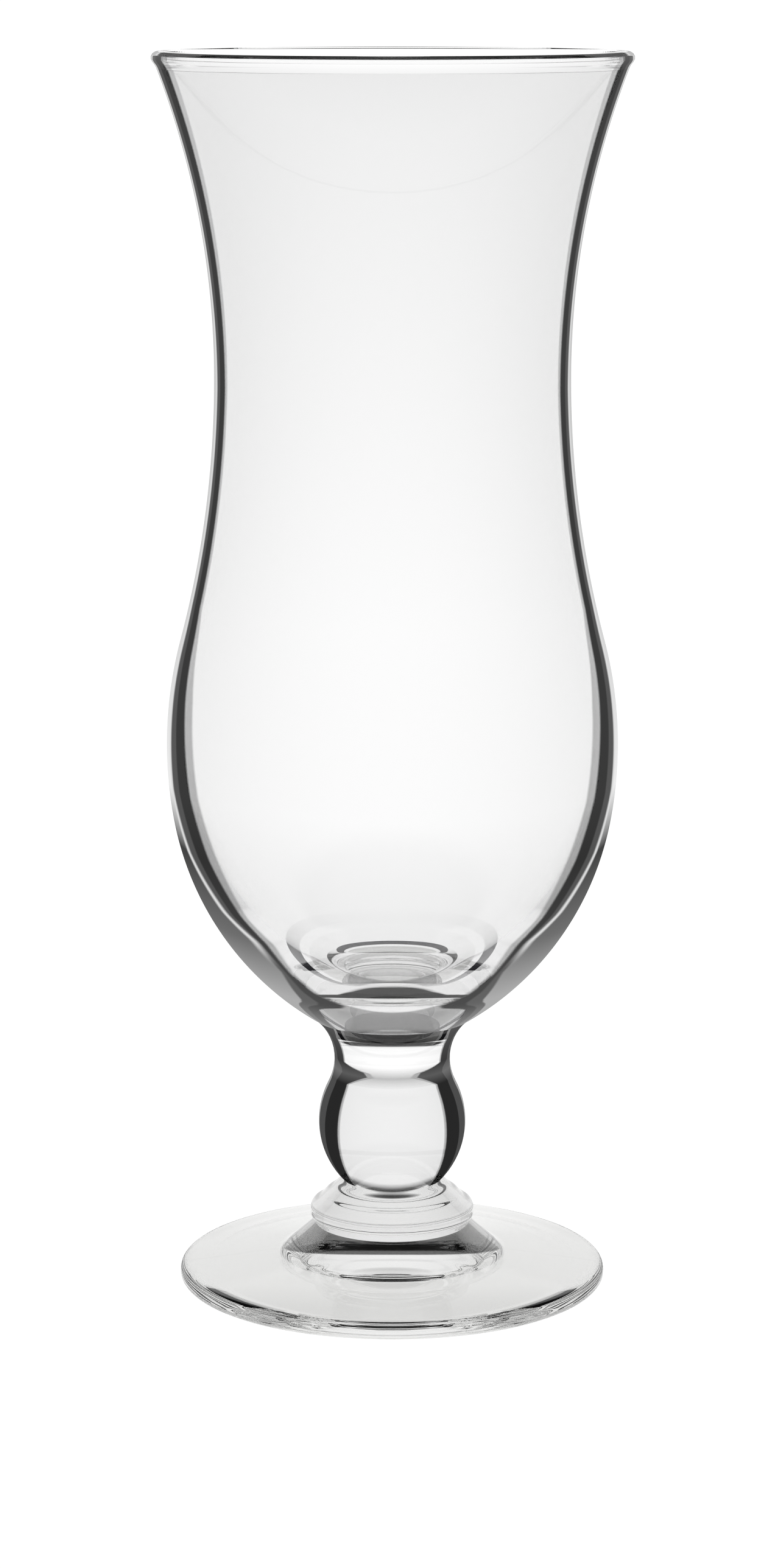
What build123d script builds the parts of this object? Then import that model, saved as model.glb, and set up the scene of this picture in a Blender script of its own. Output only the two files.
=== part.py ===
from build123d import *
import os
from math import asin, atan2, cos, degrees, hypot, radians, sin, sqrt

# Hurricane glass in millimetres. It stands on z = 0 and every piece is round about the Z axis.
# A rise is a height above the piece or line named beside it.

# Bowl, outside
HEIGHT = 205.0
RIM_DIAMETER = 77.8
LIP_THICKNESS = 2.0
LIP_BULGE = 0.25  # lip beyond the outside of the wall
LIP_BLEND = 3.0  # radius of the hollow between lip and wall
WAIST_DIAMETER = 58.2
WAIST_RISE = 62.1  # waist above the belly line
BELLY_DIAMETER = 74.7
BELLY_RISE = 46.2  # belly line above the bowl's seat
BELLY_CURVE = 68.5  # upright radius of the belly
BELLY_TURN = 10.3  # degrees of that curve below the belly line

# Bowl, thickness of the glass
RIM_WALL = 1.2
WAIST_WALL = 1.7
BELLY_WALL = 2.8
FLOOR_THICKNESS = 7.8  # on the axis, above the bowl's seat
FLOOR_CURVE = 80.0  # upright radius of the floor inside
FLOOR_DIAMETER = 25.4
CORNER_CURVE = 9.0  # radius between floor and side

# Stem with its ball knop
SEAT_RISE = 7.1  # bowl's seat above the neck
NECK_DIAMETER = 19.4
NECK_RISE = 10.9  # narrowest part of the neck above the middle of the knop
KNOP_DIAMETER = 24.7
KNOP_CURVE = 14.5  # upright radius of the knop
KNOP_RISE = 10.0  # middle of the knop above the collar

# Collar between knop and foot
COLLAR_DIAMETER = 27.5
COLLAR_HEIGHT = 7.5
COLLAR_BAND = 3.0  # upright edge of the collar before it is rounded
COLLAR_ROUND = 1.2
COLLAR_SEAT_DIAMETER = 26.0

# Foot
FOOT_DIAMETER = 71.7
FOOT_EDGE = 2.8
FOOT_EDGE_ROUND = 1.3
FOOT_SLOPE_RISE = 2.0  # climb of the disc from its edge to the boss
BOSS_DIAMETER = 37.0
BOSS_RISE = 4.9  # collar's seat above the top of the disc
BOSS_FILLET = 3.0
REST_RING_WIDTH = 3.0  # flat ring that touches the table
HOLLOW_DEPTH = 2.8  # rise of the underside inside that ring

# Heights of the seats and of the lines across the bowl
disc_z = FOOT_EDGE + FOOT_SLOPE_RISE
collar_z = disc_z + BOSS_RISE
knop_seat_z = collar_z + COLLAR_HEIGHT
knop_z = knop_seat_z + KNOP_RISE
neck_z = knop_z + NECK_RISE
bowl_z = neck_z + SEAT_RISE
belly_z = bowl_z + BELLY_RISE
waist_z = belly_z + WAIST_RISE
lip_z = HEIGHT - LIP_THICKNESS / 2

# The knop's curve and the neck's curve touch, so the neck's radius follows from the other sizes
knop_centre = KNOP_DIAMETER / 2 - KNOP_CURVE
neck_offset = NECK_DIAMETER / 2 - knop_centre
neck_curve = (neck_offset**2 + NECK_RISE**2 - KNOP_CURVE**2) / (2 * (KNOP_CURVE - neck_offset))
neck_centre = NECK_DIAMETER / 2 + neck_curve

# Radii of the fused seats, where one piece ends and the next begins
bowl_seat_radius = neck_centre - sqrt(neck_curve**2 - SEAT_RISE**2)
knop_seat_radius = knop_centre + sqrt(KNOP_CURVE**2 - KNOP_RISE**2)
collar_seat_radius = COLLAR_SEAT_DIAMETER / 2


def turned(section):
    """A solid of revolution about Z from its half section, drawn with the radius as x and z as y."""
    return revolve(Plane.XZ * section, Axis.Z)


def upright_arc_radius(width, rise):
    """Radius of an arc that starts upright and moves sideways by width over a rise."""
    return (width**2 + rise**2) / (2 * width)


def heading(start, end):
    """Direction from start to end in the half section, in degrees."""
    return degrees(atan2(end[1] - start[1], end[0] - start[0]))


def flare_circle(rim_radius, waist_radius):
    """Centre and radius of the flare, which is upright at the waist and reaches the rim at the lip."""
    radius = upright_arc_radius(rim_radius - waist_radius, lip_z - waist_z)
    return (waist_radius + radius, waist_z), radius


def lip_blend(lip, flare_centre, reach):
    """Centre of the hollow between the lip and a flare: it touches the lip and lies at a reach from the flare's."""
    lip_reach = LIP_THICKNESS / 2 + LIP_BLEND
    gap = hypot(lip[0] - flare_centre[0], lip[1] - flare_centre[1])
    along = (gap**2 + reach**2 - lip_reach**2) / (2 * gap)
    aside = sqrt(reach**2 - along**2)
    step = ((lip[0] - flare_centre[0]) / gap, (lip[1] - flare_centre[1]) / gap)
    middle = (flare_centre[0] + along * step[0], flare_centre[1] + along * step[1])
    ends = [(middle[0] - side * aside * step[1], middle[1] + side * aside * step[0]) for side in (1, -1)]
    return min(ends, key=lambda point: point[1])


def bowl_side(flare_centre, flare_radius, flare_end, waist_radius, belly_radius, belly_curve):
    """Flare, hollow waist and upper belly: three arcs that run into each other, from the flare's end down."""
    radii_together = upright_arc_radius(belly_radius - waist_radius, WAIST_RISE)
    hollow_radius = radii_together - belly_curve
    turn = degrees(asin(WAIST_RISE / radii_together))
    flare = CenterArc(flare_centre, flare_radius, flare_end, 180 - flare_end)
    hollow = CenterArc((waist_radius + hollow_radius, waist_z), hollow_radius, 180, turn)
    crown = CenterArc((belly_radius - belly_curve, belly_z), belly_curve, 0, turn)
    return [flare, hollow, crown]


def bowl_floor(belly_radius, floor_z):
    """Inside of the bowl below the belly line: a shallow floor that turns through a corner into the lower side."""
    floor_turn = asin(FLOOR_DIAMETER / 2 / FLOOR_CURVE)
    reach = FLOOR_CURVE - CORNER_CURVE
    corner = (reach * sin(floor_turn), floor_z + FLOOR_CURVE - reach * cos(floor_turn))
    width = belly_radius - corner[0]
    drop = belly_z - corner[1]
    side_curve = (width**2 + drop**2 - CORNER_CURVE**2) / (2 * (width - CORNER_CURVE))
    side_centre = (belly_radius - side_curve, belly_z)
    corner_start = degrees(floor_turn) - 90
    corner_end = heading(side_centre, corner)
    floor = CenterArc((0, floor_z + FLOOR_CURVE), FLOOR_CURVE, -90, degrees(floor_turn))
    turn = CenterArc(corner, CORNER_CURVE, corner_start, corner_end - corner_start)
    side = CenterArc(side_centre, side_curve, corner_end, -corner_end)
    return [floor, turn, side]


def make_bowl():
    """Blown bowl with a thick floor and a round fire-polished lip that runs into the wall on both sides."""
    rim_radius = RIM_DIAMETER / 2 - LIP_BULGE
    waist_radius = WAIST_DIAMETER / 2
    belly_radius = BELLY_DIAMETER / 2
    inner_waist = waist_radius - WAIST_WALL
    inner_belly = belly_radius - BELLY_WALL
    floor_z = bowl_z + FLOOR_THICKNESS

    lip = ((RIM_DIAMETER - LIP_THICKNESS) / 2, lip_z)
    outer_flare, outer_radius = flare_circle(rim_radius, waist_radius)
    inner_flare, inner_radius = flare_circle(rim_radius - RIM_WALL, inner_waist)
    outer_blend = lip_blend(lip, outer_flare, outer_radius - LIP_BLEND)
    inner_blend = lip_blend(lip, inner_flare, inner_radius + LIP_BLEND)
    outer_end = heading(outer_flare, outer_blend)
    inner_end = heading(inner_flare, inner_blend)
    outer_touch = heading(lip, outer_blend)
    inner_touch = heading(lip, inner_blend) + 360
    outer_hollow = CenterArc(outer_blend, LIP_BLEND, outer_end, outer_touch + 180 - outer_end)
    lip_round = CenterArc(lip, LIP_THICKNESS / 2, outer_touch, inner_touch - outer_touch)
    inner_hollow = CenterArc(inner_blend, LIP_BLEND, inner_touch - 180, inner_end - inner_touch)

    outer_side = bowl_side(outer_flare, outer_radius, outer_end, waist_radius, belly_radius, BELLY_CURVE)
    inner_side = bowl_side(
        inner_flare, inner_radius, inner_end, inner_waist, inner_belly, BELLY_CURVE - BELLY_WALL
    )
    inner_bottom = bowl_floor(inner_belly, floor_z)
    outer_belly = CenterArc((belly_radius - BELLY_CURVE, belly_z), BELLY_CURVE, -BELLY_TURN, BELLY_TURN)
    seat_edge = (bowl_seat_radius, bowl_z)
    downward = (-sin(radians(BELLY_TURN)), -cos(radians(BELLY_TURN)))
    underside = TangentArc(outer_belly @ 0, seat_edge, tangent=downward)
    seat = Line(seat_edge, (0, bowl_z))
    axis = Line((0, bowl_z), (0, floor_z))

    outside = [*outer_side, outer_belly, underside]
    inside = [*inner_side, *inner_bottom]
    rim = [outer_hollow, lip_round, inner_hollow]
    return turned(make_face([*outside, seat, axis, *inside, *rim]))


def make_stem():
    """Solid neck that opens into the bowl's seat, drawn in one curve from a ball knop."""
    seat_angle = degrees(asin(SEAT_RISE / neck_curve))
    touch_angle = degrees(asin(NECK_RISE / (neck_curve + KNOP_CURVE)))
    foot_angle = degrees(asin(KNOP_RISE / KNOP_CURVE))
    neck = CenterArc((neck_centre, neck_z), neck_curve, 180 - seat_angle, seat_angle + touch_angle)
    knop = CenterArc((knop_centre, knop_z), KNOP_CURVE, -foot_angle, foot_angle + touch_angle)
    top = Line((0, bowl_z), (bowl_seat_radius, bowl_z))
    base = Line((knop_seat_radius, knop_seat_z), (0, knop_seat_z))
    axis = Line((0, knop_seat_z), (0, bowl_z))
    return turned(make_face([top, neck, knop, base, axis]))


def make_collar():
    """Ring of glass that spreads from the knop's seat to a rounded edge over the foot."""
    band_radius = COLLAR_DIAMETER / 2
    side = FilletPolyline(
        (knop_seat_radius, knop_seat_z),
        (band_radius, collar_z + COLLAR_BAND),
        (band_radius, collar_z + COLLAR_ROUND),
        (collar_seat_radius, collar_z),
        radius=[COLLAR_ROUND, COLLAR_ROUND / 2],
    )
    top = Line((0, knop_seat_z), (knop_seat_radius, knop_seat_z))
    base = Line((collar_seat_radius, collar_z), (0, collar_z))
    axis = Line((0, collar_z), (0, knop_seat_z))
    return turned(make_face([top, *side.edges(), base, axis]))


def make_foot():
    """Disc foot with a conical boss, a rounded edge and a hollow underside inside its rest ring."""
    edge_radius = FOOT_DIAMETER / 2
    ring_outer = edge_radius - FOOT_EDGE_ROUND
    ring_inner = ring_outer - REST_RING_WIDTH
    side = FilletPolyline(
        (collar_seat_radius, collar_z),
        (BOSS_DIAMETER / 2, disc_z),
        (edge_radius, FOOT_EDGE),
        (edge_radius, 0),
        (ring_inner, 0),
        radius=[BOSS_FILLET, FOOT_EDGE_ROUND, FOOT_EDGE_ROUND],
    )
    dome_radius = upright_arc_radius(HOLLOW_DEPTH, ring_inner)
    dome_angle = degrees(asin(ring_inner / dome_radius))
    dome = CenterArc((0, HOLLOW_DEPTH - dome_radius), dome_radius, 90 - dome_angle, dome_angle)
    top = Line((0, collar_z), (collar_seat_radius, collar_z))
    axis = Line((0, HOLLOW_DEPTH), (0, collar_z))
    return turned(make_face([top, *side.edges(), dome, axis]))


os.makedirs("parts", exist_ok=True)
export_step(make_bowl(), "parts/bowl.step")
export_step(make_stem(), "parts/stem.step")
export_step(make_collar(), "parts/collar.step")
export_step(make_foot(), "parts/foot.step")
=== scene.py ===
from math import asin, atan2, ceil, copysign, cos, degrees, dist, pi, radians, sin, sqrt, tan

import bpy
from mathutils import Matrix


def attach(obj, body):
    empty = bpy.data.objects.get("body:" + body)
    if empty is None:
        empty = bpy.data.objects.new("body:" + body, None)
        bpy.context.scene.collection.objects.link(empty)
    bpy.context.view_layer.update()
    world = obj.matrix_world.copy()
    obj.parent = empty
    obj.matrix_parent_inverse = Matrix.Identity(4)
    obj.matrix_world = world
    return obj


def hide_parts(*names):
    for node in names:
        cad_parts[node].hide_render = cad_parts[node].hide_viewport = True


# A hurricane glass of clear glass, round about Z and standing on z = 0. Each piece is a closed mesh turned
# from its half section. Sizes of the glass are in millimetres, points are (radius, height), and functions
# take and give angles in degrees.

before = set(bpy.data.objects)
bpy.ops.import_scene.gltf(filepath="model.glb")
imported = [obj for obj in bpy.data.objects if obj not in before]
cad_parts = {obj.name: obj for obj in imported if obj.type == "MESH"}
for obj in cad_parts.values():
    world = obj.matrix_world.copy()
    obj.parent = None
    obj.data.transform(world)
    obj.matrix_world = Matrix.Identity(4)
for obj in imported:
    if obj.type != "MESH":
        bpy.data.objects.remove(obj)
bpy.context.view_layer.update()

MM = 0.001

# Bowl, outside
HEIGHT = 205.0
RIM_DIAMETER = 77.8
LIP_THICKNESS = 2.0
LIP_BULGE = 0.25  # lip beyond the outside of the wall
LIP_BLEND = 3.0  # radius of the hollow between lip and wall
WAIST_DIAMETER = 58.2
WAIST_RISE = 62.1  # waist above the belly line
BELLY_DIAMETER = 74.7
BELLY_RISE = 46.2  # belly line above the bowl's seat
BELLY_CURVE = 68.5  # upright radius of the belly
BELLY_TURN = 10.3  # degrees of that curve below the belly line

# Bowl, thickness of the glass
RIM_WALL = 1.2
WAIST_WALL = 1.7
BELLY_WALL = 2.8
FLOOR_THICKNESS = 7.8  # on the axis, above the bowl's seat
FLOOR_CURVE = 80.0  # upright radius of the floor inside
FLOOR_DIAMETER = 25.4
CORNER_CURVE = 9.0  # radius between floor and side

# Stem with its ball knop
SEAT_RISE = 7.1  # bowl's seat above the neck
NECK_DIAMETER = 19.4
NECK_RISE = 10.9  # narrowest part of the neck above the middle of the knop
KNOP_DIAMETER = 24.7
KNOP_CURVE = 14.5  # upright radius of the knop
KNOP_RISE = 10.0  # middle of the knop above the collar

# Collar between knop and foot
COLLAR_DIAMETER = 27.5
COLLAR_HEIGHT = 7.5
COLLAR_BAND = 3.0  # upright edge of the collar before it is rounded
COLLAR_ROUND = 1.2
COLLAR_SEAT_DIAMETER = 26.0

# Foot
FOOT_DIAMETER = 71.7
FOOT_EDGE = 2.8
FOOT_EDGE_ROUND = 1.3
FOOT_SLOPE_RISE = 2.0  # climb of the disc from its edge to the boss
BOSS_DIAMETER = 37.0
BOSS_RISE = 4.9  # collar's seat above the top of the disc
BOSS_FILLET = 3.0
REST_RING_WIDTH = 3.0  # flat ring that touches the table
HOLLOW_DEPTH = 2.8  # rise of the underside inside that ring

# Ripples that shaping the hot glass left around the collar
RIPPLE_DEPTH = 0.06
RIPPLE_STEP = 3.0

# Fineness of the turned meshes
RIPPLE_FINENESS = 0.1
TURN_STEPS = 256
ARC_STEP = 1.1  # longest step along an arc
ARC_LEAST_STEPS = 8
CREASE = 25.0  # degrees; a sharper turn of the section keeps its edge
AXIS_RADIUS = 0.001  # a point nearer than this lies on the axis

# Kinds of surface, in the order of a piece's materials
OUTSIDE = 0
INSIDE = 1
SEAT = 2
LIP = 3

# Camera of the photograph, in metres, with its lens in millimetres
CAMERA_DISTANCE = 0.6903
CAMERA_HEIGHT = 0.2191
CAMERA_ASIDE = -0.0023
CAMERA_PITCH = 11.0  # degrees below the level
SENSOR = 36.0
LENS = 97.13
CLIP_NEAR = 0.01
CLIP_FAR = 100.0

# Glass
GLASS_IOR = 1.5
GLASS_GLOSS = 0.5  # specular level at which the gloss follows the index
INNER_TINT = (0.985, 0.985, 0.985)
CLEAR_TINT = (0.992, 0.992, 0.992)
FOOT_TINT = (0.982, 0.982, 0.968)
WAVE_SCALE = 60.0  # waves of the blown surface, per metre
WAVE_DETAIL = 1.0
WAVE_DEPTH = 0.00003  # in metres
SMEAR_SCALE = 240.0  # smears of handling, per metre
SMEAR_FROM = 0.45  # noise from which a smear shows
SMEAR_FULL = 0.8
SMEAR_ROUGHNESS = 0.02
FEWEST_BENDS = 0.5  # light with fewer bends than this hasn't been bent
TONE_POWER = 2.0  # the shader takes the square root of its colour

# Studio
WHITE = 1.05
# Colour of the dark ring, painted shade seen only in the glass
DARK = (0.04, 0.04, 0.045)
ZENITH = 90.0
SKY = [(0, WHITE), (26, WHITE), (36, 0.1), (40, 0.05), (ZENITH, 0.05)]  # degrees up, brightness
FLOOR_DROP = 0.2  # table below the foot
FLOOR_RADIUS = 8000.0
RING_INNER = 42.0  # painted shade: dark ring on the table, seen only in the glass
RING_OUTER = 50.0
STAGE_STEPS = 90

# Light paths
MOST_BOUNCES = 24
MOST_GLOSSY_BOUNCES = 12

# Heights of the seats and of the lines across the bowl
disc_z = FOOT_EDGE + FOOT_SLOPE_RISE
collar_z = disc_z + BOSS_RISE
knop_seat_z = collar_z + COLLAR_HEIGHT
knop_z = knop_seat_z + KNOP_RISE
neck_z = knop_z + NECK_RISE
bowl_z = neck_z + SEAT_RISE
belly_z = bowl_z + BELLY_RISE
waist_z = belly_z + WAIST_RISE
lip_z = HEIGHT - LIP_THICKNESS / 2

# The knop's curve and the neck's curve touch, so the neck's radius follows from the other sizes
knop_centre = KNOP_DIAMETER / 2 - KNOP_CURVE
neck_offset = NECK_DIAMETER / 2 - knop_centre
neck_curve = (neck_offset**2 + NECK_RISE**2 - KNOP_CURVE**2) / (2 * (KNOP_CURVE - neck_offset))
neck_centre = NECK_DIAMETER / 2 + neck_curve

# Radii of the fused seats, where one piece ends and the next begins
bowl_seat_radius = neck_centre - sqrt(neck_curve**2 - SEAT_RISE**2)
knop_seat_radius = knop_centre + sqrt(KNOP_CURVE**2 - KNOP_RISE**2)
collar_seat_radius = COLLAR_SEAT_DIAMETER / 2

# Painted shade: dark bands up the outside of a piece, in place of the dark edges that bent light gives,
# each with a painted highlight line in it. A row has a height, the width of the grey strip beside the dark
# band, the slant where the band begins and the slant of the light line in it. A slant is 0 face on and 1
# edge on.
NO_BAND = 1.0  # slant of the very edge, so that no band shows
ALL_BAND = -0.1  # slant below face on, so that the band is everywhere
BOWL_SHADE_BANDS = [
    (bowl_z, 0.4, 0.3, 0.5),
    (50.4, 0.34, 0.24, 0.4),
    (51.6, 0.02, 0.08, 0.31),
    (52.6, 0.02, 0.13, 0.31),
    (54, 0.02, 0.19, 0.31),
    (57.4, 0.02, 0.25, 0.3),
    (62.8, 0.04, 0.3, 0.37),
    (67, 0.035, 0.385, 0.513),
    (76, 0.065, 0.495, 0.696),
    (86, 0.067, 0.58, 0.815),
    (101.5, 0.074, 0.649, 0.855),
    (116, 0.03, 0.7, 0.876),
    (151.5, 0.03, 0.655, 0.83),
    (203, 0.06, 0.69, 0.9),
]
LIP_SHADE_BANDS = [
    (201.5, 0.06, 0.7, 0.9),
    (204.4, 0.06, 0.7, 0.9),
    (204.5, 0.0, ALL_BAND, 0.8),
    (HEIGHT, 0.0, ALL_BAND, 0.8),
]
STEM_SHADE_BANDS = [
    (knop_seat_z, 0.03, 0.36, 0.88),
    (35.2, 0.03, 0.36, 0.88),
    (36.9, 0.05, 0.13, 0.88),
    (37.6, 0.05, 0.16, 0.9),
    (38.7, 0.03, 0.47, 0.9),
    (43, 0.03, 0.47, 0.9),
    (bowl_z, 0.03, 0.36, 0.9),
]
COLLAR_SHADE_BANDS = [(collar_z, 0.0, 0.5, 0.9), (knop_seat_z, 0.0, 0.5, 0.9)]
FOOT_SHADE_BANDS = [
    (0, 0.0, NO_BAND, NO_BAND),
    (4.9, 0.0, NO_BAND, NO_BAND),
    (5.2, 0.03, 0.9, 0.95),
    (8.2, 0.03, 0.02, 0.9),
    (collar_z, 0.03, ALL_BAND, 0.9),
]
BAND_SOFTNESS = 0.012
HIGHLIGHT_WIDTH = 0.04  # half of the painted highlight line's width, as a slant
HIGHLIGHT_FROM = 61.0  # height from which the painted highlight line shows
HIGHLIGHT_FADE = 3.0
BOWL_ASLANT = 0.3  # glass less aslant than this has no band
STEM_ASLANT = 0.05
ASLANT_SOFTNESS = 0.03

# Painted shade of a piece by zone, which greys the glass where bent light would darken it. A row has a
# height
# and how much light passes there: through the clear glass, through the band and through the edge outside
# the light line.
BOWL_SHADE_TONES = [
    (bowl_z, 0.9, 0.25, 0.4),
    (51.6, 0.85, 0.07, 0.4),
    (62.8, 0.85, 0.05, 0.15),
    (76, 0.9, 0.03, 0.05),
    (86, 0.95, 0.04, 0.8),
    (116, 0.95, 0.04, 0.6),
    (203, 0.83, 0.05, 0.5),
]
# Painted shade: the lip's crest nearly black, a dark line along the top of the rim
LIP_SHADE_TONES = [
    (201.5, 0.83, 0.05, 0.5),
    (204.4, 1.0, 0.1, 0.5),
    (204.5, 0.05, 0.05, 0.5),
    (HEIGHT, 0.05, 0.05, 0.5),
]
STEM_SHADE_TONES = [
    (knop_seat_z, 0.84, 0.02, 0.35),
    (35.2, 0.84, 0.02, 0.35),
    (36.9, 0.5, 0.1, 0.35),
    (38.7, 1.0, 0.04, 0.35),
    (bowl_z, 0.95, 0.08, 0.35),
]
COLLAR_SHADE_TONES = [(collar_z, 0.8, 0.65, 0.6), (knop_seat_z, 0.8, 0.65, 0.6)]
# Painted shade: the foot's glass greyer all over, as if the table under it lay in shade, and a dark band on
# the boss
FOOT_SHADE_TONES = [
    (0, 0.82, 0.82, 0.82),
    (4.9, 0.82, 0.82, 0.82),
    (5.2, 0.85, 0.13, 0.4),
    (collar_z, 0.9, 0.15, 0.4),
]
# Painted shade of the grey strip beside a band
STRIP_SHADE = 0.38
# Painted highlight: light let through along the light line in a band
HIGHLIGHT_TONE = 0.7
OUTER_LIFT = 0.05  # painted shade: light that the band's outer half lets pass beyond its inner half
SIDE_SHADE = 0.85  # painted shade: share of the clear glass's tone that is left at its sides
SIDE_SLANT = 0.6  # slant from which that share is reached


def heading(start, end):
    """Direction from start to end."""
    return degrees(atan2(end[1] - start[1], end[0] - start[0]))


def turn_between(heading_in, heading_out):
    """Turn from one direction to another, left positive, at most a half turn."""
    return (heading_out - heading_in + 180) % 360 - 180


def arc(centre, radius, start, sweep):
    """Points along an arc of the half section, ends included."""
    steps = max(ARC_LEAST_STEPS, ceil(abs(radians(sweep)) * radius / ARC_STEP))
    angles = [radians(start + sweep * k / steps) for k in range(steps + 1)]
    return [(centre[0] + radius * cos(a), centre[1] + radius * sin(a)) for a in angles]


def tangent_arc(start, start_heading, end):
    """Points along the arc that leaves start in a given direction and ends at end."""
    turn = 2 * turn_between(start_heading, heading(start, end))
    radius = dist(start, end) / (2 * sin(radians(turn / 2)))
    leaving = radians(start_heading)
    centre = (start[0] - radius * sin(leaving), start[1] + radius * cos(leaving))
    return arc(centre, abs(radius), start_heading - copysign(90, radius), turn)


def towards(start, end, length):
    """The point at a length from start on the way to end."""
    share = length / dist(start, end)
    return (start[0] + share * (end[0] - start[0]), start[1] + share * (end[1] - start[1]))


def rounded_line(corners, radii):
    """Points along a line through corners, with its inner corners rounded to the radii."""
    points = [corners[0]]
    for before, corner, after, radius in zip(corners, corners[1:], corners[2:], radii):
        turn = turn_between(heading(before, corner), heading(corner, after))
        back = radius * tan(radians(abs(turn) / 2))
        start = towards(corner, before, back)
        end = towards(corner, after, back)
        points += tangent_arc(start, heading(before, corner), end)
    return points + [corners[-1]]


def upright_arc_radius(width, rise):
    """Radius of an arc that starts upright and moves sideways by width over a rise."""
    return (width**2 + rise**2) / (2 * width)


def bowl_side(rim_radius, waist_radius, belly_radius, belly_curve):
    """Upper belly, hollow waist and flare, from the belly line up to the rim."""
    flare_rise = lip_z - waist_z
    flare_radius = upright_arc_radius(rim_radius - waist_radius, flare_rise)
    flare_angle = degrees(asin(flare_rise / flare_radius))
    radii_together = upright_arc_radius(belly_radius - waist_radius, WAIST_RISE)
    hollow_radius = radii_together - belly_curve
    turn = degrees(asin(WAIST_RISE / radii_together))
    crown = arc((belly_radius - belly_curve, belly_z), belly_curve, 0, turn)
    hollow = arc((waist_radius + hollow_radius, waist_z), hollow_radius, 180 + turn, -turn)
    flare = arc((waist_radius + flare_radius, waist_z), flare_radius, 180, -flare_angle)
    return crown + hollow[1:] + flare[1:]


def bowl_floor(belly_radius, floor_z):
    """Inside of the bowl from the axis to the belly line: a shallow floor, a corner and the lower side."""
    floor_turn = asin(FLOOR_DIAMETER / 2 / FLOOR_CURVE)
    reach = FLOOR_CURVE - CORNER_CURVE
    corner = (reach * sin(floor_turn), floor_z + FLOOR_CURVE - reach * cos(floor_turn))
    width = belly_radius - corner[0]
    drop = belly_z - corner[1]
    side_curve = (width**2 + drop**2 - CORNER_CURVE**2) / (2 * (width - CORNER_CURVE))
    side_centre = (belly_radius - side_curve, belly_z)
    corner_start = degrees(floor_turn) - 90
    corner_end = heading(side_centre, corner)
    floor = arc((0, floor_z + FLOOR_CURVE), FLOOR_CURVE, -90, degrees(floor_turn))
    turn = arc(corner, CORNER_CURVE, corner_start, corner_end - corner_start)
    side = arc(side_centre, side_curve, corner_end, -corner_end)
    return floor + turn[1:] + side[1:]


def touching(first, first_reach, second, second_reach):
    """Lower of the two points that lie at given reaches from two centres."""
    gap = dist(first, second)
    along = (gap**2 + first_reach**2 - second_reach**2) / (2 * gap)
    aside = sqrt(first_reach**2 - along**2)
    step = ((second[0] - first[0]) / gap, (second[1] - first[1]) / gap)
    middle = towards(first, second, along)
    ends = [(middle[0] - s * aside * step[1], middle[1] + s * aside * step[0]) for s in (1, -1)]
    return min(ends, key=lambda p: p[1])


def fire_polished_lip():
    """Round lip over the top of the wall, blended into it on both sides, outside first."""
    lip = (RIM_DIAMETER / 2 - LIP_THICKNESS / 2, lip_z)
    outer_rim = RIM_DIAMETER / 2 - LIP_BULGE
    outer_flare = upright_arc_radius(outer_rim - WAIST_DIAMETER / 2, lip_z - waist_z)
    outer_centre = (WAIST_DIAMETER / 2 + outer_flare, waist_z)
    inner_waist = WAIST_DIAMETER / 2 - WAIST_WALL
    inner_flare = upright_arc_radius(outer_rim - RIM_WALL - inner_waist, lip_z - waist_z)
    inner_centre = (inner_waist + inner_flare, waist_z)
    reach = LIP_THICKNESS / 2 + LIP_BLEND
    outer = touching(outer_centre, outer_flare - LIP_BLEND, lip, reach)
    inner = touching(inner_centre, inner_flare + LIP_BLEND, lip, reach)
    outer_start = heading(outer_centre, outer)
    outer_sweep = heading(outer, lip) - outer_start
    over_start = heading(lip, outer)
    over_sweep = heading(lip, inner) % 360 - over_start
    inner_start = heading(inner, lip)
    inner_sweep = heading(inner, inner_centre) - inner_start
    return (
        arc(outer, LIP_BLEND, outer_start, outer_sweep)
        + arc(lip, LIP_THICKNESS / 2, over_start, over_sweep)[1:]
        + arc(inner, LIP_BLEND, inner_start, inner_sweep)[1:]
    )


def bowl_outside():
    """Outside of the bowl from its seat up to the lip."""
    belly_radius = BELLY_DIAMETER / 2
    belly = arc((belly_radius - BELLY_CURVE, belly_z), BELLY_CURVE, -BELLY_TURN, BELLY_TURN)
    underside = tangent_arc(belly[0], -90 - BELLY_TURN, (bowl_seat_radius, bowl_z))[::-1]
    side = bowl_side(RIM_DIAMETER / 2 - LIP_BULGE, WAIST_DIAMETER / 2, belly_radius, BELLY_CURVE)
    return underside + belly[1:] + side[1:]


def bowl_inside():
    """Inside of the bowl from the axis up to the lip."""
    belly_radius = BELLY_DIAMETER / 2 - BELLY_WALL
    side = bowl_side(
        RIM_DIAMETER / 2 - LIP_BULGE - RIM_WALL,
        WAIST_DIAMETER / 2 - WAIST_WALL,
        belly_radius,
        BELLY_CURVE - BELLY_WALL,
    )
    return bowl_floor(belly_radius, bowl_z + FLOOR_THICKNESS) + side[1:]


def bowl_outline():
    """Half section of the bowl from its seat over the outside and the lip to the floor inside."""
    lip = fire_polished_lip()
    outside = [p for p in bowl_outside() if p[1] < lip[0][1]]
    inside = [p for p in bowl_inside() if p[1] < lip[-1][1]]
    crest = lip.index(max(lip, key=lambda p: p[1]))
    return [
        ([(0, bowl_z), (bowl_seat_radius, bowl_z)], SEAT),
        (outside + lip[:1], OUTSIDE),
        (lip[: crest + 1], LIP),
        (lip[crest:] + inside[::-1], INSIDE),
    ]


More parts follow.
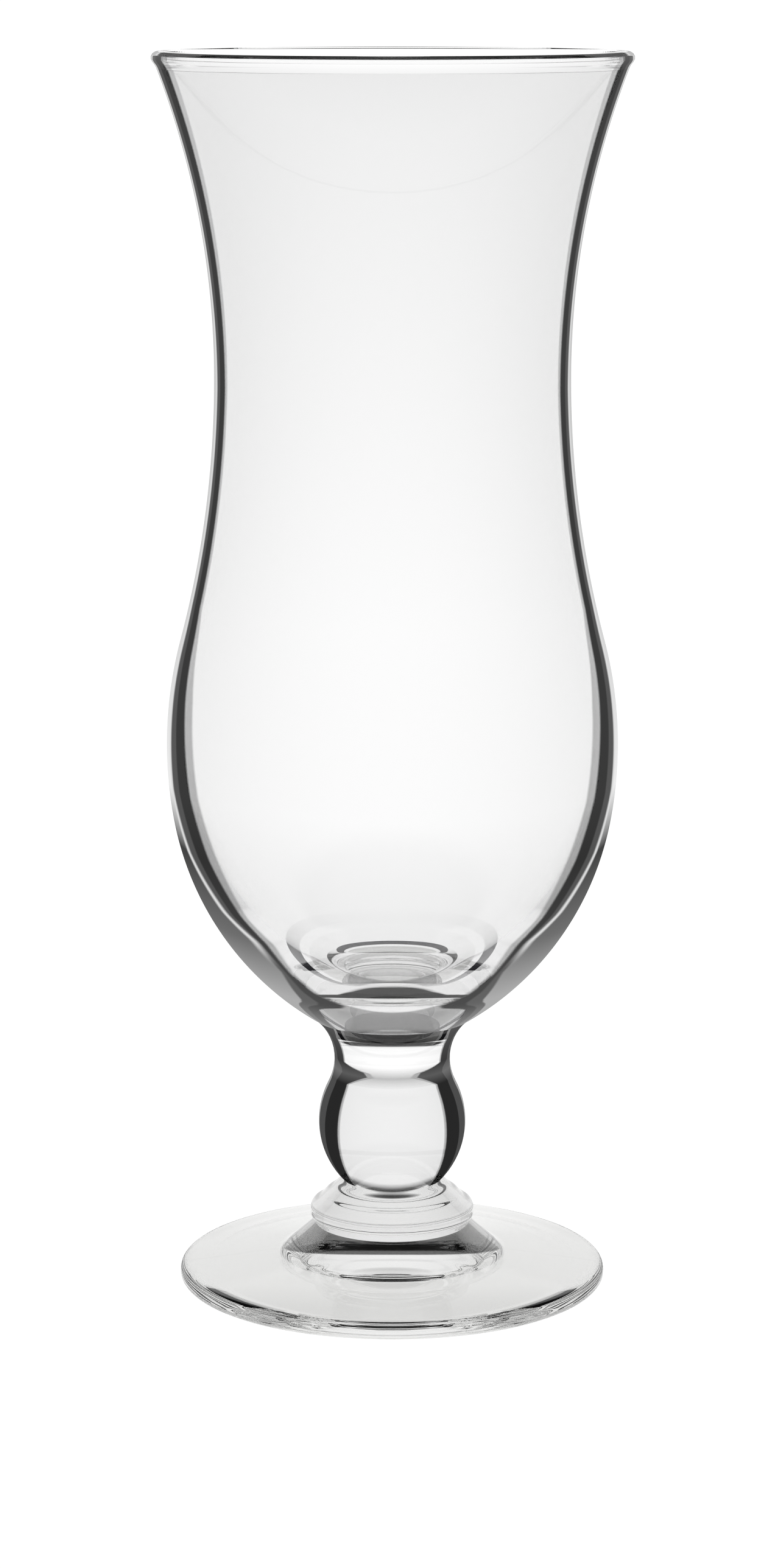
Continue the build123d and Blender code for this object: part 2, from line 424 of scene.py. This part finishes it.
def stem_outline():
    """Half section of the stem from the knop's seat to the bowl's seat."""
    seat_angle = degrees(asin(SEAT_RISE / neck_curve))
    touch_angle = degrees(asin(NECK_RISE / (neck_curve + KNOP_CURVE)))
    foot_angle = degrees(asin(KNOP_RISE / KNOP_CURVE))
    knop = arc((knop_centre, knop_z), KNOP_CURVE, -foot_angle, foot_angle + touch_angle)
    neck = arc((neck_centre, neck_z), neck_curve, 180 + touch_angle, -touch_angle - seat_angle)
    return [
        ([(0, knop_seat_z), (knop_seat_radius, knop_seat_z)], SEAT),
        (knop + neck[1:], OUTSIDE),
        ([(bowl_seat_radius, bowl_z), (0, bowl_z)], SEAT),
    ]


def rippled(points, depth, step):
    """Points along a line with shallow ripples across it, which die out at its ends."""
    lengths = [0]
    for start, end in zip(points, points[1:]):
        lengths.append(lengths[-1] + dist(start, end))
    total = lengths[-1]
    count = ceil(total / RIPPLE_FINENESS)
    line = []
    for k in range(count + 1):
        along = total * k / count
        stretch = max(n for n in range(len(points) - 1) if lengths[n] <= along)
        start, end = points[stretch], points[stretch + 1]
        radius, height = towards(start, end, along - lengths[stretch])
        turn = radians(heading(start, end))
        lift = depth * sin(pi * k / count) * sin(2 * pi * along / step)
        line.append((radius + lift * sin(turn), height - lift * cos(turn)))
    return line


def collar_outline():
    """Half section of the collar from the foot's seat to the knop's seat."""
    band_radius = COLLAR_DIAMETER / 2
    side = rounded_line(
        [
            (collar_seat_radius, collar_z),
            (band_radius, collar_z + COLLAR_ROUND),
            (band_radius, collar_z + COLLAR_BAND),
            (knop_seat_radius, knop_seat_z),
        ],
        [COLLAR_ROUND / 2, COLLAR_ROUND],
    )
    return [
        ([(0, collar_z), (collar_seat_radius, collar_z)], SEAT),
        (rippled(side, RIPPLE_DEPTH, RIPPLE_STEP), OUTSIDE),
        ([(knop_seat_radius, knop_seat_z), (0, knop_seat_z)], SEAT),
    ]


def foot_outline():
    """Half section of the foot from the middle of its hollow underside to the collar's seat."""
    edge_radius = FOOT_DIAMETER / 2
    ring_inner = edge_radius - FOOT_EDGE_ROUND - REST_RING_WIDTH
    dome_radius = upright_arc_radius(HOLLOW_DEPTH, ring_inner)
    dome_angle = degrees(asin(ring_inner / dome_radius))
    dome = arc((0, HOLLOW_DEPTH - dome_radius), dome_radius, 90, -dome_angle)
    side = rounded_line(
        [
            (ring_inner, 0),
            (edge_radius, 0),
            (edge_radius, FOOT_EDGE),
            (BOSS_DIAMETER / 2, disc_z),
            (collar_seat_radius, collar_z),
        ],
        [FOOT_EDGE_ROUND, FOOT_EDGE_ROUND, BOSS_FILLET],
    )
    return [
        (dome, INSIDE),
        (side, OUTSIDE),
        ([(collar_seat_radius, collar_z), (0, collar_z)], SEAT),
    ]


def turned(name, outline, materials):
    """A closed mesh turned about Z from an outline of stretches, each with its kind of surface."""
    section = [outline[0][0][0]]
    kinds = []
    for points, kind in outline:
        section += points[1:]
        kinds += [kind] * (len(points) - 1)
    angles = [2 * pi * k / TURN_STEPS for k in range(TURN_STEPS)]
    vertices = []
    rings = []
    for radius, height in section:
        first = len(vertices)
        if radius < AXIS_RADIUS:
            vertices.append((0, 0, height * MM))
            rings.append([first] * TURN_STEPS)
        else:
            vertices += [(radius * MM * cos(a), radius * MM * sin(a), height * MM) for a in angles]
            rings.append(list(range(first, first + TURN_STEPS)))
    faces = []
    for low, high in zip(rings, rings[1:]):
        for k in range(TURN_STEPS):
            n = (k + 1) % TURN_STEPS
            faces.append(list(dict.fromkeys([low[k], low[n], high[n], high[k]])))
    mesh = bpy.data.meshes.new(name)
    mesh.from_pydata(vertices, [], faces)
    for material in materials:
        mesh.materials.append(material)
    mesh.polygons.foreach_set("use_smooth", [True] * len(faces))
    mesh.polygons.foreach_set("material_index", [kind for kind in kinds for _ in range(TURN_STEPS)])
    creased = set()
    for before, here, after, ring in zip(section, section[1:], section[2:], rings[1:]):
        if abs(turn_between(heading(before, here), heading(here, after))) > CREASE:
            creased.update(ring)
    for edge in mesh.edges:
        edge.use_edge_sharp = all(v in creased for v in edge.vertices)
    mesh.update()
    piece = bpy.data.objects.new(name, mesh)
    bpy.context.scene.collection.objects.link(piece)
    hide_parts(name)
    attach(piece, "root")


class Nodes:
    """The nodes of one material or world, with a short way to add and join them."""

    def __init__(self, owner):
        owner.use_nodes = True
        self.tree = owner.node_tree
        self.tree.nodes.clear()

    def add(self, kind, inputs=None, **settings):
        """Add a node, set its settings, and set or join its inputs. It gives the node's outputs."""
        node = self.tree.nodes.new("ShaderNode" + kind)
        for name, value in settings.items():
            setattr(node, name, value)
        for name, value in (inputs or {}).items():
            if isinstance(value, bpy.types.NodeSocket):
                self.tree.links.new(value, node.inputs[name])
            else:
                node.inputs[name].default_value = value
        return node.outputs

    def past(self, value, mark, width):
        """Rise from 0 to 1 as a value passes a mark."""
        limits = {"Value": self.minus(value, mark), "From Min": -width, "From Max": width}
        return self.add("MapRange", limits, interpolation_type="SMOOTHSTEP")["Result"]

    def mix(self, share, first, second):
        """Blend of two numbers."""
        return self.add("Mix", {"Factor": share, "A": first, "B": second}, data_type="FLOAT")["Result"]

    def math(self, operation, *values):
        """Result of an operation on one or two numbers."""
        return self.add("Math", dict(enumerate(values)), operation=operation)["Value"]

    def times(self, first, second):
        """Product of two numbers."""
        return self.math("MULTIPLY", first, second)

    def minus(self, first, second):
        """Difference of two numbers."""
        return self.math("SUBTRACT", first, second)

    def join(self, value, shader, name):
        """Join a value to one of a shader's inputs."""
        self.tree.links.new(value, shader.inputs[name])

    def let_through(self, shader, leaving, share):
        """Let a share of the light straight through, and all light that leaves without having been bent."""
        bends = self.add("LightPath")["Transmission Depth"]
        unbent = self.math("LESS_THAN", bends, FEWEST_BENDS)
        self.join(self.minus(1.0, self.mix(leaving, share, unbent)), shader, "Alpha")

    def level_slant(self, normal):
        """How far a surface is turned from the view, by the level part of its normal."""
        level = self.add("VectorMath", {0: normal, 1: (1, 1, 0)}, operation="MULTIPLY")["Vector"]
        level = self.add("VectorMath", {0: level}, operation="NORMALIZE")["Vector"]
        return self.add("LayerWeight", {"Normal": level})["Facing"]

    def ramp(self, value, stops):
        """Colour by a value, from stops of a place and three channels."""
        outputs = self.add("ValToRGB", {"Fac": value})
        elements = outputs["Color"].node.color_ramp.elements
        for k, (place, channels) in enumerate(stops):
            element = elements[k] if k < 2 else elements.new(1)
            element.position = place
            element.color = (*channels, 1)
        return outputs["Color"]

    def ramp_channels(self, value, stops):
        """The three channels of a ramp."""
        parts = self.add("SeparateColor", {"Color": self.ramp(value, stops)})
        return parts["Red"], parts["Green"], parts["Blue"]


def glass(name):
    """Clear glass with the faint waves and smears of a blown and handled surface."""
    material = bpy.data.materials.new(name)
    nodes = Nodes(material)
    place = nodes.add("TexCoord")["Object"]
    waves = nodes.add("TexNoise", {"Vector": place, "Scale": WAVE_SCALE, "Detail": WAVE_DETAIL})["Fac"]
    bump = nodes.add("Bump", {"Height": waves, "Distance": WAVE_DEPTH})["Normal"]
    smears = nodes.add("TexNoise", {"Vector": place, "Scale": SMEAR_SCALE})["Fac"]
    limits = {"Value": smears, "From Min": SMEAR_FROM, "From Max": SMEAR_FULL, "To Max": SMEAR_ROUGHNESS}
    rough = nodes.add("MapRange", limits)["Result"]
    inputs = {"Normal": bump, "Roughness": rough, "IOR": GLASS_IOR, "Transmission Weight": 1.0}
    shader = nodes.add("BsdfPrincipled", inputs)["BSDF"]
    nodes.add("OutputMaterial", {"Surface": shader})
    return material, nodes, shader.node


def inner_glass(name, tint):
    """Glass of the surface inside the bowl, which mirrors little."""
    material, nodes, shader = glass(name)
    shader.inputs["Base Color"].default_value = (*tint, 1)
    shader.inputs["Specular Tint"].default_value = (0, 0, 0, 1)
    nodes.let_through(shader, nodes.add("NewGeometry")["Backfacing"], 0.0)
    return material


def shares_of_span(rows):
    """Rows with their heights as shares of the span from the lowest to the highest."""
    lowest = rows[0][0]
    span = rows[-1][0] - lowest
    return [((height - lowest) / span, values) for height, values in rows]


def glass_with_painted_shade(name, bands, tones, tint, straight_past=None):
    """Glass of an outer surface, with a clear middle and dark bands of painted shade towards its edges.

    The clear middle is dimmed by painted shade too, and a band holds a painted highlight line. Where the
    surface is more aslant than straight_past, a band only dims light, and doesn't bend or mirror it.
    Elsewhere that glass has no band. Without straight_past the band is a tone of the bending glass."""
    material, nodes, shader = glass(name)
    surface = nodes.add("NewGeometry")
    entering = nodes.minus(1.0, surface["Backfacing"])
    height = nodes.add("SeparateXYZ", {"Vector": nodes.add("TexCoord")["Object"]})["Z"]
    limits = {"Value": height, "From Min": bands[0][0] * MM, "From Max": bands[-1][0] * MM}
    share = nodes.add("MapRange", limits)["Result"]
    slants = shares_of_span([(row_z, (band - strip, band, line)) for row_z, strip, band, line in bands])
    levels = shares_of_span([(row_z, passing) for row_z, *passing in tones])
    strip_at, band_at, line_at = nodes.ramp_channels(share, slants)
    clear_tone, band_tone, outside_tone = nodes.ramp_channels(share, levels)

    slant = nodes.level_slant(surface["Normal"])
    band = nodes.times(nodes.past(slant, band_at, BAND_SOFTNESS), entering)
    strip = nodes.past(slant, strip_at, BAND_SOFTNESS)
    if straight_past is not None:
        aslant = nodes.past(nodes.add("LayerWeight")["Facing"], straight_past, ASLANT_SOFTNESS)
        band = nodes.times(band, aslant)
        strip = nodes.times(strip, aslant)
    apart = nodes.math("ABSOLUTE", nodes.minus(slant, line_at))
    limits = {"Value": apart, "From Max": HIGHLIGHT_WIDTH, "To Min": 1.0, "To Max": 0.0}
    line = nodes.add("MapRange", limits, interpolation_type="SMOOTHSTEP")["Result"]
    line = nodes.times(line, nodes.past(height, HIGHLIGHT_FROM * MM, HIGHLIGHT_FADE * MM))

    # Painted shade: the clear glass darker towards its sides and in the grey strip beside the band
    limits = {"Value": slant, "From Max": SIDE_SLANT, "To Min": 1.0, "To Max": SIDE_SHADE}
    sides = nodes.add("MapRange", limits)["Result"]
    clear = nodes.mix(strip, nodes.times(clear_tone, sides), STRIP_SHADE)
    clear = nodes.mix(entering, 1.0, clear)
    # Painted shade of the band, a little lighter in its outer half and outside the light line, which is a
    # painted highlight
    middle = nodes.mix(0.5, band_at, line_at)
    outer_tone = nodes.math("ADD", band_tone, OUTER_LIFT)
    dim = nodes.mix(nodes.past(slant, middle, BAND_SOFTNESS), band_tone, outer_tone)
    dim = nodes.mix(nodes.past(slant, line_at, BAND_SOFTNESS), dim, outside_tone)
    dim = nodes.mix(nodes.times(line, band), dim, HIGHLIGHT_TONE)
    if straight_past is not None:
        unbanded = nodes.minus(1.0, band)
        nodes.let_through(shader, surface["Backfacing"], nodes.times(band, dim))
        nodes.join(unbanded, shader, "Transmission Weight")
        nodes.join(nodes.times(unbanded, GLASS_GLOSS), shader, "Specular IOR Level")
        tone = nodes.times(clear, unbanded)
    else:
        tone = nodes.mix(band, clear, dim)
    tone = nodes.math("POWER", tone, TONE_POWER)
    colour = nodes.add("VectorMath", {0: tint, "Scale": tone}, operation="SCALE")["Vector"]
    nodes.join(colour, shader, "Base Color")
    return material


def fused_glass():
    """Seats where two pieces are melted into one: light passes as if there were no surface."""
    material = bpy.data.materials.new("fused_seat")
    nodes = Nodes(material)
    nodes.add("OutputMaterial", {"Surface": nodes.add("BsdfTransparent")["BSDF"]})
    return material


def glowing(name, colour):
    """A surface that gives light of a colour."""
    material = bpy.data.materials.new(name)
    nodes = Nodes(material)
    nodes.add("OutputMaterial", {"Surface": nodes.add("Emission", {"Color": (*colour, 1)})["Emission"]})
    return material


def flat_stage(name, corners, faces, material):
    """A level sheet that isn't part of the glass."""
    mesh = bpy.data.meshes.new(name)
    mesh.from_pydata(corners, [], faces)
    mesh.materials.append(material)
    sheet = bpy.data.objects.new(name, mesh)
    bpy.context.scene.collection.objects.link(sheet)
    return sheet


def circle(radius, height):
    """Points around Z, in metres."""
    angles = [2 * pi * k / STAGE_STEPS for k in range(STAGE_STEPS)]
    return [(radius * MM * cos(a), radius * MM * sin(a), height * MM) for a in angles]


def studio_floor():
    """White table that glows."""
    corners = circle(FLOOR_RADIUS, -FLOOR_DROP)
    flat_stage("floor", corners, [list(range(STAGE_STEPS))], glowing("white_table", (WHITE, WHITE, WHITE)))


def floor_ring():
    """Dark ring around the foot that glows faintly, painted shade out of the camera's sight, which shows
    only in the glass.
    """
    corners = circle(RING_INNER, -FLOOR_DROP / 2) + circle(RING_OUTER, -FLOOR_DROP / 2)
    faces = []
    for k in range(STAGE_STEPS):
        n = (k + 1) % STAGE_STEPS
        faces.append([k, STAGE_STEPS + k, STAGE_STEPS + n, n])
    ring = flat_stage("floor_ring", corners, faces, glowing("painted_shade_ring", DARK))
    ring.visible_camera = False
    ring.visible_shadow = False
    ring.visible_diffuse = False


def studio_sky():
    """White sweep all round and a dark room above it."""
    world = bpy.data.worlds.new("studio")
    bpy.context.scene.world = world
    nodes = Nodes(world)
    place = nodes.add("TexCoord")["Generated"]
    climb = nodes.add("SeparateXYZ", {"Vector": place})["Z"]
    share = nodes.math("DIVIDE", nodes.math("ARCSINE", climb), radians(ZENITH))
    colour = nodes.ramp(share, [(height / ZENITH, (tone, tone, tone)) for height, tone in SKY])
    light = nodes.add("Background", {"Color": colour})["Background"]
    nodes.add("OutputWorld", {"Surface": light})


def photo_camera():
    """The camera, in front of the glass and a little above it."""
    lens = bpy.data.cameras.new("camera")
    lens.sensor_width = SENSOR
    lens.lens = LENS
    lens.clip_start = CLIP_NEAR
    lens.clip_end = CLIP_FAR
    camera = bpy.data.objects.new("camera", lens)
    camera.location = (CAMERA_ASIDE, -CAMERA_DISTANCE, CAMERA_HEIGHT)
    camera.rotation_euler = (radians(90 - CAMERA_PITCH), 0, 0)
    bpy.context.scene.collection.objects.link(camera)
    bpy.context.scene.camera = camera


def photo_look():
    """Plain tones, and enough bounces for light to pass all walls of the glass."""
    scene = bpy.context.scene
    scene.view_settings.view_transform = "Standard"
    scene.cycles.max_bounces = MOST_BOUNCES
    scene.cycles.transmission_bounces = MOST_BOUNCES
    scene.cycles.glossy_bounces = MOST_GLOSSY_BOUNCES
    scene.cycles.transparent_max_bounces = MOST_BOUNCES
    scene.cycles.use_denoising = True


fused = fused_glass()
bowl_inner_glass = inner_glass("bowl_inner_glass", INNER_TINT)
bowl_glass = glass_with_painted_shade("bowl_glass", BOWL_SHADE_BANDS, BOWL_SHADE_TONES, CLEAR_TINT, BOWL_ASLANT)
lip_glass = glass_with_painted_shade("lip_glass", LIP_SHADE_BANDS, LIP_SHADE_TONES, CLEAR_TINT, BOWL_ASLANT)
stem_glass = glass_with_painted_shade("stem_glass", STEM_SHADE_BANDS, STEM_SHADE_TONES, CLEAR_TINT, STEM_ASLANT)
collar_glass = glass_with_painted_shade("collar_glass", COLLAR_SHADE_BANDS, COLLAR_SHADE_TONES, CLEAR_TINT)
foot_glass = glass_with_painted_shade("foot_glass", FOOT_SHADE_BANDS, FOOT_SHADE_TONES, FOOT_TINT)
turned("bowl", bowl_outline(), [bowl_glass, bowl_inner_glass, fused, lip_glass])
turned("stem", stem_outline(), [stem_glass, stem_glass, fused])
turned("collar", collar_outline(), [collar_glass, collar_glass, fused])
turned("foot", foot_outline(), [foot_glass, foot_glass, fused])
studio_floor()
floor_ring()
studio_sky()
photo_camera()
photo_look()
